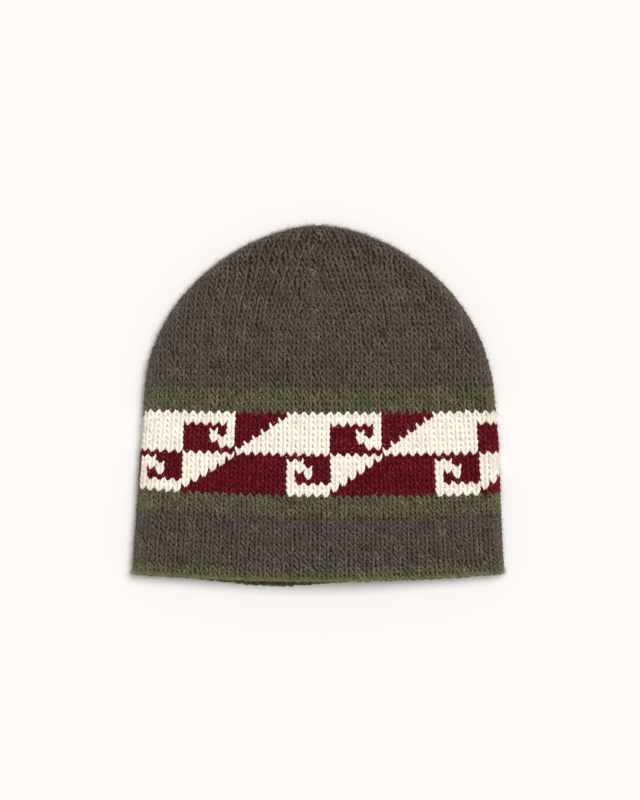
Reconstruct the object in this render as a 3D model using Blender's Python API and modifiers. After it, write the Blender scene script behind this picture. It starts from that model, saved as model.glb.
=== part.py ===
"""A knitted wool skullcap that lies flat on its back.

The cap is one hollow bag of thick knitting: an open hem, straight sides that
narrow a little, and an arched crown that is closed all round. Its back lies
flat on the surface and its front swells gently over it. Every change of yarn
round the cap starts a new solid: hem, lower body, lower stripe, fret band,
upper stripe and crown, each with a hairline gap to the next.

Frame: +X to the cap's right as it is seen from above, +Y from the hem to the
crown, +Z up. The origin is under the middle of the cap, on the surface that
it lies on. Metres throughout.
"""

import math
from collections import namedtuple

import bmesh
import bpy
import numpy as np

# Widths across the cap as it lies: at the hem, and what its straight sides
# would narrow to at the height of the crown's top
HEM_WIDTH = 0.217
TOP_WIDTH = 0.190

# How far each yarn reaches along the middle of the front, from the hem up
HEM_DEPTH = 0.0074
LOWER_BODY_DEPTH = 0.0302
LOWER_STRIPE_DEPTH = 0.0117
FRET_DEPTH = 0.0479
UPPER_STRIPE_DEPTH = 0.0141
CROWN_DEPTH = 0.0952

# The crown's arch starts at this height over the hem
SHOULDER_HEIGHT = 0.1095
ARCH_POWER = 2.14
ARCH_ROUNDNESS = 0.57
LARGEST_FOLD_SHARE = 0.8

# The knitting itself, and how it lies
WALL = 0.0032
FOLD_RADIUS = 0.0056
FRONT_RISE = 0.0085
HEM_DIP = 0.0042
BACK_PEEK = 0.0035
BAND_GAP = 0.0003

# Faces around and along the cap
BACK_COLUMNS = 16
FOLD_COLUMNS = 8
FRONT_COLUMNS = 16
POLE_MERGE = 0.00001

# Where the back hem shows below the front one, as shares of half the width
PEEK_MIDDLE = -0.25
PEEK_REACH = 0.60

Yarn = namedtuple("Yarn", "colour roughness")
YARNS = {
    "grey_brown": Yarn(colour=(0.105, 0.087, 0.070), roughness=0.95),
    "olive": Yarn(colour=(0.127, 0.112, 0.059), roughness=0.95),
    "burgundy": Yarn(colour=(0.140, 0.014, 0.020), roughness=0.95),
}

Band = namedtuple("Band", "name depth yarn rows")
BANDS = (
    Band("hem", HEM_DEPTH, "olive", 2),
    Band("lower_body", LOWER_BODY_DEPTH, "grey_brown", 5),
    Band("lower_stripe", LOWER_STRIPE_DEPTH, "olive", 2),
    Band("fret_band", FRET_DEPTH, "burgundy", 7),
    Band("upper_stripe", UPPER_STRIPE_DEPTH, "olive", 3),
    Band("crown", CROWN_DEPTH, "grey_brown", 20),
)
CAP_LENGTH = sum(band.depth for band in BANDS)

# How the front lies, from the hem (0) to the top of the crown (1): how much of
# FRONT_RISE it swells, of HEM_DIP its rows sag in the middle, and of BACK_PEEK
# the back wall slips out from under it
Station = namedtuple("Station", "along rise dip peek")
STATIONS = (
    Station(along=0.00, rise=0.60, dip=1.00, peek=1.00),
    Station(along=0.15, rise=0.88, dip=0.78, peek=0.35),
    Station(along=0.30, rise=1.00, dip=0.55, peek=0.00),
    Station(along=0.48, rise=1.00, dip=0.28, peek=0.00),
    Station(along=0.65, rise=0.95, dip=0.05, peek=0.00),
    Station(along=0.85, rise=0.70, dip=0.00, peek=0.00),
    Station(along=1.00, rise=0.00, dip=0.00, peek=0.00),
)


def clear_scene():
    """Remove every object, mesh and collection that the file starts with."""
    for thing in list(bpy.data.objects):
        bpy.data.objects.remove(thing, do_unlink=True)
    for mesh in list(bpy.data.meshes):
        bpy.data.meshes.remove(mesh)
    for collection in list(bpy.data.collections):
        bpy.data.collections.remove(collection)


def station_value(column, along):
    """Read one column of STATIONS at the given shares of the length, eased between rows."""
    shares = np.array([station.along for station in STATIONS])
    values = np.array([getattr(station, column) for station in STATIONS])
    row = np.clip(np.searchsorted(shares, along, side="right") - 1, 0, len(shares) - 2)
    step = (along - shares[row]) / (shares[row + 1] - shares[row])
    slopes = np.gradient(values, shares)
    span = shares[row + 1] - shares[row]
    ease = step * step * (3.0 - 2.0 * step)
    bow = step * (1.0 - step)
    start_pull = bow * (1.0 - step) * slopes[row] * span
    end_pull = bow * step * slopes[row + 1] * span
    return values[row] + ease * (values[row + 1] - values[row]) + start_pull - end_pull


def half_width(height):
    """Half the cap's width at each height over the hem: straight sides, then the arch.

    The sides narrow evenly from HEM_WIDTH towards TOP_WIDTH. Above the shoulder
    they are drawn in by (1 - reach ** ARCH_POWER) ** ARCH_ROUNDNESS, where reach
    runs from 0 at the shoulder to 1 at the top, which is close to an ellipse.
    """
    side = (HEM_WIDTH + (TOP_WIDTH - HEM_WIDTH) * height / CAP_LENGTH) / 2
    reach = np.clip((height - SHOULDER_HEIGHT) / (CAP_LENGTH - SHOULDER_HEIGHT), 0.0, 1.0)
    return side * (1.0 - reach ** ARCH_POWER) ** ARCH_ROUNDNESS


def fold_sizes(height):
    """Half the fold's height, and how far it reaches in from the outline along X.

    The fold is a round bead of FOLD_RADIUS that follows the outline. Cut across
    on a slant, its reach grows with the outline's slope. At the top of the
    arch the same bead closes the crown.
    """
    nudge = CAP_LENGTH / 4000
    slope = (half_width(height + nudge) - half_width(height - nudge)) / (2 * nudge)
    below_top = np.clip(CAP_LENGTH - height, 0.0, FOLD_RADIUS)
    lift = np.sqrt(FOLD_RADIUS ** 2 - (FOLD_RADIUS - below_top) ** 2)
    reach = FOLD_RADIUS * np.sqrt(1.0 + slope ** 2)
    return lift, np.minimum(reach, LARGEST_FOLD_SHARE * half_width(height))


def band_heights(bottom, top, rows, is_crown):
    """The heights of a band's rows, spaced evenly, or closer and closer towards the top."""
    steps = np.linspace(0.0, 1.0, rows + 1)
    if is_crown:
        steps = np.sin(steps * math.pi / 2)
    return bottom + (top - bottom) * steps


def skin_grid(heights):
    """The outer face of the knitting as rows of points, one row for each height.

    A row goes round the cap: along the flat back to +X, up round the fold, back
    over the swelling front, and down round the other fold.
    """
    height = heights[:, None]
    half = half_width(height)
    lift, reach = fold_sizes(height)
    along = height / CAP_LENGTH

    back = np.linspace(-1.0, 1.0, BACK_COLUMNS, endpoint=False)[None, :]
    front = np.linspace(1.0, -1.0, FRONT_COLUMNS, endpoint=False)[None, :]
    bend = np.linspace(-math.pi / 2, math.pi / 2, FOLD_COLUMNS, endpoint=False)[None, :]
    flat = half - reach
    swell = FRONT_RISE * station_value("rise", along) * np.cos(front * math.pi / 2) ** 2

    x = np.hstack([
        back * flat,
        flat + reach * np.cos(bend),
        front * flat,
        -flat - reach * np.cos(bend),
    ])
    z = FOLD_RADIUS + np.hstack([
        np.repeat(-lift, BACK_COLUMNS, axis=1),
        lift * np.sin(bend),
        lift + swell,
        -lift * np.sin(bend),
    ])
    across = np.divide(x, half, out=np.zeros_like(x), where=half > POLE_MERGE)
    off_middle = np.clip((across - PEEK_MIDDLE) / PEEK_REACH, -1.0, 1.0)
    is_back = z < FOLD_RADIUS
    slip = BACK_PEEK * station_value("peek", along) * np.cos(off_middle * math.pi / 2) ** 2
    sag = HEM_DIP * station_value("dip", along) * across ** 2
    y = height + sag - np.where(is_back, slip, 0.0)
    return np.stack([x, y, z], axis=-1)


def middle_of_length():
    """The height of the point halfway between the lowest of the hem and the crown's top."""
    hem_row = skin_grid(np.array([0.0]))
    return (hem_row[..., 1].min() + CAP_LENGTH) / 2


def band_skin(name, heights):
    """An open tube of faces through the rows of skin_grid, closed at the crown's top."""
    rows = skin_grid(heights)
    row_count, column_count = rows.shape[:2]
    shell = bmesh.new()
    corners = [[shell.verts.new(point) for point in row] for row in rows]
    for row in range(row_count - 1):
        for column in range(column_count):
            after = (column + 1) % column_count
            shell.faces.new((
                corners[row][after],
                corners[row][column],
                corners[row + 1][column],
                corners[row + 1][after],
            ))
    bmesh.ops.remove_doubles(shell, verts=shell.verts, dist=POLE_MERGE)
    mesh = bpy.data.meshes.new(name)
    shell.to_mesh(mesh)
    shell.free()
    mesh.shade_smooth()
    return mesh


def knit_wall(cap_object):
    """Give the open skin the thickness of the knitting, inwards."""
    wall = cap_object.modifiers.new("Knit wall", "SOLIDIFY")
    wall.thickness = WALL
    wall.offset = -1.0
    wall.use_even_offset = False
    wall.use_rim = True
    return wall


def yarn_material(name):
    """A matt woollen material in the yarn's colour."""
    yarn = YARNS[name]
    material = bpy.data.materials.new(name + "_wool")
    material.use_nodes = True
    shader = material.node_tree.nodes["Principled BSDF"]
    shader.inputs["Base Color"].default_value = (*yarn.colour, 1.0)
    shader.inputs["Roughness"].default_value = yarn.roughness
    shader.inputs["Metallic"].default_value = 0.0
    material.diffuse_color = (*yarn.colour, 1.0)
    return material


def build_band(band, bottom, collection, materials):
    """One band of the cap between its two changes of yarn."""
    is_crown = band is BANDS[-1]
    is_hem = band is BANDS[0]
    low = bottom if is_hem else bottom + BAND_GAP / 2
    high = bottom + band.depth if is_crown else bottom + band.depth - BAND_GAP / 2
    mesh = band_skin(band.name, band_heights(low, high, band.rows, is_crown))
    band_object = bpy.data.objects.new(band.name, mesh)
    band_object.location.y = -middle_of_length()
    band_object.data.materials.append(materials[band.yarn])
    collection.objects.link(band_object)
    knit_wall(band_object)
    return band_object


def build_cap():
    """The whole cap, band by band from the hem to the crown."""
    clear_scene()
    collection = bpy.data.collections.new("Skullcap")
    bpy.context.scene.collection.children.link(collection)
    materials = {name: yarn_material(name) for name in YARNS}
    bottom = 0.0
    for band in BANDS:
        build_band(band, bottom, collection, materials)
        bottom += band.depth


build_cap()
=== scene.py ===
"""A knitted wool skullcap laid flat, drawn stitch by stitch over its CAD form.

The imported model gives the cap's form, size and place. This script repeats the
form of its outer face, lays every loop of the stocking stitch over it as a
length of yarn, closes the knitting with a thin wall of the same wool behind
the loops, and sets stray fibres over it all. Metres throughout: sizes that are
given in millimetres are turned with MM.

Two coordinates place every stitch: a wale number, which counts columns of
stitches round the cap from the middle of the front, and a row number, which
counts rows from the hem or from the foot of the crown.
"""

import logging
import math
from dataclasses import dataclass, field, replace
from enum import Enum
from typing import Any

import bpy
import numpy as np
from numpy.typing import NDArray
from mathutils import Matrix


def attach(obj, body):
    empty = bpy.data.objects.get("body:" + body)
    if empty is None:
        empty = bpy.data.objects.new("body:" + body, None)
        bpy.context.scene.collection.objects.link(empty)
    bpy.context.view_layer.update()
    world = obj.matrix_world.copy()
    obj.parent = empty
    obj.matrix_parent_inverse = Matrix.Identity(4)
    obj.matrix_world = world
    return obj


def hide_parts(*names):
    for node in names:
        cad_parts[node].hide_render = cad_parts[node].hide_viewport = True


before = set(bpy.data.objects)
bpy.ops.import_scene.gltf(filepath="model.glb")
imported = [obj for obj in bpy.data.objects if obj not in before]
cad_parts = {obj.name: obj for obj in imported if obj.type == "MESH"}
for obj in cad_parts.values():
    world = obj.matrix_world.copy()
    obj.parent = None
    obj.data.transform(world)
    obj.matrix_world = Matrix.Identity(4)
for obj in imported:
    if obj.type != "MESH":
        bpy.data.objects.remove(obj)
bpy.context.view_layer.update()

LOG = logging.getLogger("skullcap")
Floats = NDArray[np.float64]
Whole = NDArray[np.int64]
Pair = tuple[Floats, Floats]
Chance = np.random.Generator

MM = 0.001
TINY = 1e-6  # keeps a division or a cross product away from 0
BODY = "root"
SEED = 20240611


# --- colours, nodes and meshes -------------------------------------------------


def linear(hex_colour: str) -> tuple[float, float, float, float]:
    """Turn an sRGB hex colour into the linear RGBA that a shader socket takes.

    Each channel c becomes c / 12.92 up to 0.04045, and ((c + 0.055) / 1.055) ** 2.4 above.

    Args:
        hex_colour: six hex digits, such as "4C453E".

    Returns:
        Red, green, blue and an alpha of 1.
    """
    channels = [int(hex_colour[start:start + 2], 16) / 255 for start in (0, 2, 4)]
    turned = [c / 12.92 if c <= 0.04045 else ((c + 0.055) / 1.055) ** 2.4 for c in channels]
    return (turned[0], turned[1], turned[2], 1.0)


def add_node(
    tree: bpy.types.NodeTree,
    kind: str,
    settings: dict[str, Any] | None = None,
    inputs: dict[str | int, Any] | None = None,
) -> bpy.types.Node:
    """Add a node, set its properties, and set or link its input sockets.

    Args:
        tree: the node tree that the node goes into.
        kind: the node's type name.
        settings: property values by name.
        inputs: for each socket, by name or number, an output socket to link or a value.

    Returns:
        The new node.
    """
    node = tree.nodes.new(kind)
    for name, value in (settings or {}).items():
        setattr(node, name, value)
    for name, value in (inputs or {}).items():
        socket = node.inputs[name]
        if isinstance(value, bpy.types.NodeSocket):
            tree.links.new(value, socket)
        else:
            socket.default_value = value
    return node


def blank_material(name: str) -> tuple[bpy.types.Material, bpy.types.NodeTree]:
    """Make a material with an empty node tree.

    Args:
        name: the material's name.

    Returns:
        The material and its tree.
    """
    material = bpy.data.materials.new(name)
    material.use_nodes = True
    material.node_tree.nodes.clear()
    return material, material.node_tree


def linked(name: str, data: bpy.types.ID) -> bpy.types.Object:
    """Make an object and link it to the scene.

    Args:
        name: the object's name.
        data: its mesh, light or camera.

    Returns:
        The object, at the origin.
    """
    made = bpy.data.objects.new(name, data)
    bpy.context.scene.collection.objects.link(made)
    return made


@dataclass
class MeshData:
    """Points and faces of one kind, gathered before they become a Blender mesh."""

    points: Floats
    faces: Whole  # corner numbers, the same count for every face
    uv: Floats  # a place on the UV map for each corner of each face
    tone: Floats  # how light the wool is at each point, 1 for its own colour

    @staticmethod
    def joined(parts: list["MeshData"]) -> "MeshData":
        """Join several meshes into one, with the face numbers moved on to match.

        Args:
            parts: meshes whose faces have the same number of corners.

        Returns:
            The one mesh.
        """
        starts = np.cumsum([0] + [len(part.points) for part in parts[:-1]])
        return MeshData(
            points=np.concatenate([part.points for part in parts]),
            faces=np.concatenate([part.faces + start for part, start in zip(parts, starts)]),
            uv=np.concatenate([part.uv for part in parts]),
            tone=np.concatenate([part.tone for part in parts]),
        )

    def to_object(self, name: str, material: bpy.types.Material) -> bpy.types.Object:
        """Put the points and faces into a smooth Blender mesh and link its object.

        Args:
            name: the name of the object and its mesh.
            material: its one material.

        Returns:
            The new object, at the origin.
        """
        mesh = bpy.data.meshes.new(name)
        face_count, corner_count = self.faces.shape
        mesh.vertices.add(len(self.points))
        mesh.vertices.foreach_set("co", self.points.astype(np.float32).ravel())
        mesh.loops.add(face_count * corner_count)
        mesh.loops.foreach_set("vertex_index", self.faces.astype(np.int32).ravel())
        mesh.polygons.add(face_count)
        starts = np.arange(face_count, dtype=np.int32) * corner_count
        mesh.polygons.foreach_set("loop_start", starts)
        layer = mesh.uv_layers.new(name="UVMap")
        layer.data.foreach_set("uv", self.uv.astype(np.float32).ravel())
        tone = mesh.attributes.new("tone", "FLOAT", "POINT")
        tone.data.foreach_set("value", self.tone.astype(np.float32))
        mesh.update(calc_edges=True)
        mesh.validate()
        mesh.shade_smooth()
        mesh.materials.append(material)
        return linked(name, mesh)


def fit_piece(piece: bpy.types.Object, node: str | None = None) -> None:
    """Ride a piece on the cap's body, and hide the CAD node that it stands for.

    Args:
        piece: the finished object.
        node: the CAD node that it replaces, if any.
    """
    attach(piece, BODY)
    if node is not None:
        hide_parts(node)
    LOG.info("%s: %d faces", piece.name, len(piece.data.polygons))


# --- the form of the cap -------------------------------------------------------


@dataclass(frozen=True)
class Station:
    """How the cap lies at one share of its length: shares of its swell, sag and slip."""

    along: float
    rise: float
    dip: float
    peek: float


@dataclass(frozen=True)
class CapForm:
    """The outer face of the knitting, by the same formula as the CAD's own skin."""

    hem_width: float = 217.0 * MM
    top_width: float = 190.0 * MM  # what the straight sides would narrow to
    length: float = 206.5 * MM
    shoulder_height: float = 109.5 * MM  # where the crown's arch starts
    arch_power: float = 2.14
    arch_roundness: float = 0.57
    fold_radius: float = 5.6 * MM
    largest_fold_share: float = 0.8  # of half the width
    front_rise: float = 8.5 * MM  # how far the front swells
    hem_dip: float = 4.2 * MM  # how far the rows bend up towards the sides
    back_peek: float = 3.5 * MM  # how far the back slips out under the hem
    peek_middle: float = -0.25  # where it shows most, and how far, in half widths
    peek_reach: float = 0.60
    right_slack: float = 1.8 * MM  # how far the knitting bags out at the right fold
    slack_height: float = 80.0 * MM
    slack_reach: float = 40.0 * MM
    slack_power: int = 8
    stations: tuple[Station, ...] = (
        Station(along=0.00, rise=0.60, dip=1.00, peek=1.00),
        Station(along=0.15, rise=0.88, dip=0.78, peek=0.35),
        Station(along=0.30, rise=1.00, dip=0.55, peek=0.00),
        Station(along=0.48, rise=1.00, dip=0.28, peek=0.00),
        Station(along=0.65, rise=0.95, dip=0.05, peek=0.00),
        Station(along=0.85, rise=0.70, dip=0.00, peek=0.00),
        Station(along=1.00, rise=0.00, dip=0.00, peek=0.00),
    )

    def station_value(self, column: str, along: Floats) -> Floats:
        """Read one column of the stations, eased between rows.

        Between two stations the value follows 3s^2 - 2s^3, bent at each end by
        s(1 - s) times the slope that the stations have there.

        Args:
            column: "rise", "dip" or "peek".
            along: shares of the cap's length.

        Returns:
            The column's value at each share.
        """
        shares = np.array([station.along for station in self.stations])
        values = np.array([getattr(station, column) for station in self.stations])
        row = np.clip(np.searchsorted(shares, along, side="right") - 1, 0, len(shares) - 2)
        span = shares[row + 1] - shares[row]
        step = (along - shares[row]) / span
        slopes = np.gradient(values, shares)
        ease = step * step * (3.0 - 2.0 * step)
        bow = step * (1.0 - step)
        start_pull = bow * (1.0 - step) * slopes[row] * span
        end_pull = bow * step * slopes[row + 1] * span
        return values[row] + ease * (values[row + 1] - values[row]) + start_pull - end_pull

    def half_width(self, height: Floats) -> Floats:
        """Half the width: straight sides times (1 - reach ** power) ** roundness.

        Args:
            height: heights over the hem.

        Returns:
            Half the width at each.
        """
        side = (self.hem_width + (self.top_width - self.hem_width) * height / self.length) / 2
        reach = (height - self.shoulder_height) / (self.length - self.shoulder_height)
        return side * (1.0 - np.clip(reach, 0.0, 1.0) ** self.arch_power) ** self.arch_roundness

    def fold_sizes(self, height: Floats) -> Pair:
        """Half the fold's height, and how far it reaches in from the outline.

        The lift is a quarter circle that closes over the top. The reach is
        radius * sqrt(1 + slope^2), because the fold is cut on a slant.

        Args:
            height: heights over the hem.

        Returns:
            The lift and the reach at each height.
        """
        nudge = self.length / 4000
        slope = (self.half_width(height + nudge) - self.half_width(height - nudge)) / (2 * nudge)
        below_top = np.clip(self.length - height, 0.0, self.fold_radius)
        lift = np.sqrt(self.fold_radius ** 2 - (self.fold_radius - below_top) ** 2)
        reach = self.fold_radius * np.sqrt(1.0 + slope ** 2)
        return lift, np.minimum(reach, self.largest_fold_share * self.half_width(height))


@dataclass
class CapSurface:
    """The cap's outer face as a table of points and normals to lay yarn on.

    A place on it is a height over the hem and a side: -1 is the left fold, 0 the
    middle of the front, 1 the right fold, 2 the middle of the back and 3 the left
    fold again. Sides are spaced evenly by length across the front and the back.
    """

    form: CapForm
    rows: int = 420
    half_columns: int = 480  # across the front, and as many across the back
    fold_steps: int = 25
    flat_steps: int = 161

    def __post_init__(self) -> None:
        """Work out the table, with its rows closer together towards the top."""
        topmost = self.form.length * (1.0 - TINY)
        self.heights = topmost * np.sin(np.linspace(0.0, math.pi / 2, self.rows))
        ring, self.front_half, self.back_half = self._rings()
        self.points = self._placed(ring)
        along_row = np.roll(self.points, -1, axis=1) - np.roll(self.points, 1, axis=1)
        self.normals = unit(np.cross(along_row, np.gradient(self.points, axis=0)))

    def _rings(self) -> tuple[Floats, Floats, Floats]:
        """Each height's cross-section, as x and z, evenly spaced by length.

        The front runs x = -flat - reach cos(a), z = lift sin(a) up the left
        fold, then z = lift + swell cos(pi f / 2)^2 over f * flat, and down the
        right fold. The back runs the other way without the swell.

        Returns:
            The section, and half the length of its front and of its back, at every height.
        """
        form = self.form
        lift, reach = (size[:, None] for size in form.fold_sizes(self.heights))
        flat = form.half_width(self.heights)[:, None] - reach
        turn = np.linspace(0.0, math.pi / 2, self.fold_steps)[None, :]
        share = np.linspace(-1.0, 1.0, self.flat_steps)[None, :]
        rise = form.front_rise * form.station_value("rise", self.heights / form.length)
        swell = rise[:, None] * np.cos(share * math.pi / 2) ** 2
        right_fold = (flat + reach * np.cos(turn))[:, ::-1]
        x = np.hstack([-flat - reach * np.cos(turn), share * flat, right_fold])
        up_fold, down_fold = lift * np.sin(turn), (lift * np.sin(turn))[:, ::-1]
        front_z = np.hstack([up_fold, lift + swell, down_fold])
        back_z = np.hstack([-up_fold, -lift + 0.0 * share, -down_fold])
        front, front_length = respaced(x, front_z, self.half_columns)
        back, back_length = respaced(-x, back_z, self.half_columns)
        return np.concatenate([front, back], axis=1), front_length / 2, back_length / 2

    def _placed(self, ring: Floats) -> Floats:
        """Turn x and z of each cross-section into points, with the sag and slip in y.

        y = height + dip * (x / half)^2, less the slip on the back, which is
        peek * cos(pi m / 2)^2 of the distance m from where it shows most. On the
        right, x grows by slack * exp(-d^2) * (x / half)^power.

        Args:
            ring: x and z for each height and column.

        Returns:
            Points for each height and column, in the CAD's frame.
        """
        form = self.form
        height = self.heights[:, None]
        along = height / form.length
        across = ring[..., 0] / form.half_width(height)
        off_middle = np.clip((across - form.peek_middle) / form.peek_reach, -1.0, 1.0)
        peek = form.back_peek * form.station_value("peek", along)
        slip = peek * np.cos(off_middle * math.pi / 2) ** 2
        slip[:, :self.half_columns] = 0.0
        y = height + form.hem_dip * form.station_value("dip", along) * across ** 2 - slip
        middle = (y[0].min() + form.length) / 2
        fade = np.exp(-((height - form.slack_height) / form.slack_reach) ** 2)
        slack = form.right_slack * fade * np.maximum(across, 0.0) ** form.slack_power
        return np.stack([ring[..., 0] + slack, y - middle, ring[..., 1] + form.fold_radius], axis=-1)

    def at(self, height: Floats, side: Floats) -> Pair:
        """Look up points and outward normals, blended between the table's four nearest.

        Args:
            height: heights over the hem; below 0 the face runs straight on.
            side: places round the cap.

        Returns:
            Points and unit normals, one for each place.
        """
        row = np.interp(height, self.heights, np.arange(self.rows))
        low = np.minimum(row.astype(int), self.rows - 2)
        up = (row - low)[..., None]
        columns = 2 * self.half_columns
        column = (side + 1.0) / 4.0 * columns
        left = np.floor(column).astype(int)
        over = (column - left)[..., None]
        left, right = left % columns, (left + 1) % columns
        found = []
        for table in (self.points, self.normals):
            lower = table[low, left] * (1.0 - over) + table[low, right] * over
            upper = table[low + 1, left] * (1.0 - over) + table[low + 1, right] * over
            found.append(lower * (1.0 - up) + upper * up)
        points, normals = found
        points[..., 1] += np.minimum(height, 0.0)
        return points, unit(normals)


def unit(vectors: Floats) -> Floats:
    """Scale vectors to length 1."""
    return vectors / np.maximum(np.linalg.norm(vectors, axis=-1, keepdims=True), 1e-12)


def respaced(x: Floats, z: Floats, count: int) -> Pair:
    """Space the points of each row evenly along its length.

    Args:
        x: x of each row's points.
        z: z of each row's points.
        count: points wanted in each row; the row's last point is left off.

    Returns:
        The new points of each row, and each row's length.
    """
    steps = np.hypot(np.diff(x, axis=1), np.diff(z, axis=1))
    travelled = np.hstack([np.zeros((len(x), 1)), np.cumsum(steps, axis=1)])
    wanted = np.arange(count) / count * travelled[:, -1:]
    rows = [
        np.stack([np.interp(places, way, row_x), np.interp(places, way, row_z)], axis=-1)
        for places, way, row_x, row_z in zip(wanted, travelled, x, z)
    ]
    return np.array(rows), travelled[:, -1]


def way_along(points: Floats) -> Floats:
    """The length travelled along each row of points: 0, then the running sum of the steps."""
    steps = np.linalg.norm(np.diff(points, axis=-2), axis=-1)
    return np.concatenate([np.zeros_like(steps[..., :1]), np.cumsum(steps, axis=-1)], axis=-1)


def spokes(first: Floats, second: Floats, sides: int) -> Floats:
    """Directions evenly round each point of a path: cos(p) * first + sin(p) * second."""
    turn = (2 * math.pi * np.arange(sides) / sides)[None, :, None]
    return np.cos(turn) * first[:, None] + np.sin(turn) * second[:, None]


def quads(ring: Whole, after: Whole, sides: int) -> Whole:
    """Join rings of corners with faces, each over c and c + 1 of a ring and the next.

    Args:
        ring: the rings that faces start from.
        after: the ring that follows each.
        sides: corners in a ring.

    Returns:
        Corner numbers, by ring, side and corner.
    """
    side = np.arange(sides)[None, :]
    beside = (side + 1) % sides
    here, there = ring[:, None] * sides, after[:, None] * sides
    return np.stack([here + side, here + beside, there + beside, there + side], axis=-1)


# --- how the stitches lie on it ------------------------------------------------


@dataclass(frozen=True)
class Gauge:
    """How many stitches there are and how they divide round the cap."""

    wales: int = 85
    front_half: float = 21.2  # wales from the middle of the front to the fold
    first_edge: float = 1.355  # the chart's left edge, right of the middle
    crown_line: float = -2.0  # the front's decrease line, from the chart's left edge
    crown_pitch: float = 3.6 * MM  # height of a row of the crown

    @property
    def back_half(self) -> float:
        """Wales from the middle of the back to the fold."""
        return self.wales / 2 - self.front_half


@dataclass(frozen=True)
class Band:
    """One stretch of rows, named for its CAD node, between two heights over the hem."""

    name: str
    rows: int
    bottom: float
    top: float


BANDS = (
    Band("hem", 2, 0.0 * MM, 7.4 * MM),
    Band("lower_body", 10, 7.4 * MM, 37.6 * MM),
    Band("lower_stripe", 4, 37.6 * MM, 49.3 * MM),
    Band("fret_band", 14, 49.3 * MM, 97.2 * MM),
    Band("upper_stripe", 4, 97.2 * MM, 111.3 * MM),
)
CAST_ON_LIFT = 1.2 * MM
CAST_ON_ROW = -0.12


@dataclass
class StraightKnit:
    """Places the stitches of the bands below the crown, in closed rounds."""

    surface: CapSurface
    gauge: Gauge

    def __post_init__(self) -> None:
        """Work out the height of every row, and how far its two ends drift down and up."""
        self.row_marks = np.cumsum([0] + [band.rows for band in BANDS]).astype(float)
        self.height_marks = np.array([CAST_ON_LIFT] + [band.top for band in BANDS])
        self.drift_marks = np.array([0.0, -0.4, 1.6, 1.6, 0.2, 0.0]) * MM

    def height(self, row: Floats) -> Floats:
        """The height of a row number, run on in a straight line past both ends.

        Args:
            row: row numbers from the hem.

        Returns:
            Heights over the hem.
        """
        marks, heights = self.row_marks, self.height_marks
        slopes = np.diff(heights) / np.diff(marks)
        return (np.interp(row, marks, heights) + np.minimum(row - marks[0], 0.0) * slopes[0]
                + np.maximum(row - marks[-1], 0.0) * slopes[-1])

    def lay(self, wale: Floats, row: Floats) -> Pair:
        """Points and normals of places given by wale and row numbers.

        The knitting lies a little askew: a row runs down to the right by its
        drift, and up again across the back.

        Args:
            wale: wale numbers from the middle of the front.
            row: row numbers from the hem.

        Returns:
            Points and unit normals, one for each place.
        """
        gauge = self.gauge
        wrapped = (wale + gauge.front_half) % gauge.wales - gauge.front_half
        on_front = wrapped <= gauge.front_half
        past = 1.0 + (wrapped - gauge.front_half) / gauge.back_half
        side = np.where(on_front, wrapped / gauge.front_half, past)
        drift = np.interp(row, self.row_marks, self.drift_marks)
        return self.surface.at(self.height(row) - drift * np.where(on_front, side, 2.0 - side), side)


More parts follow.
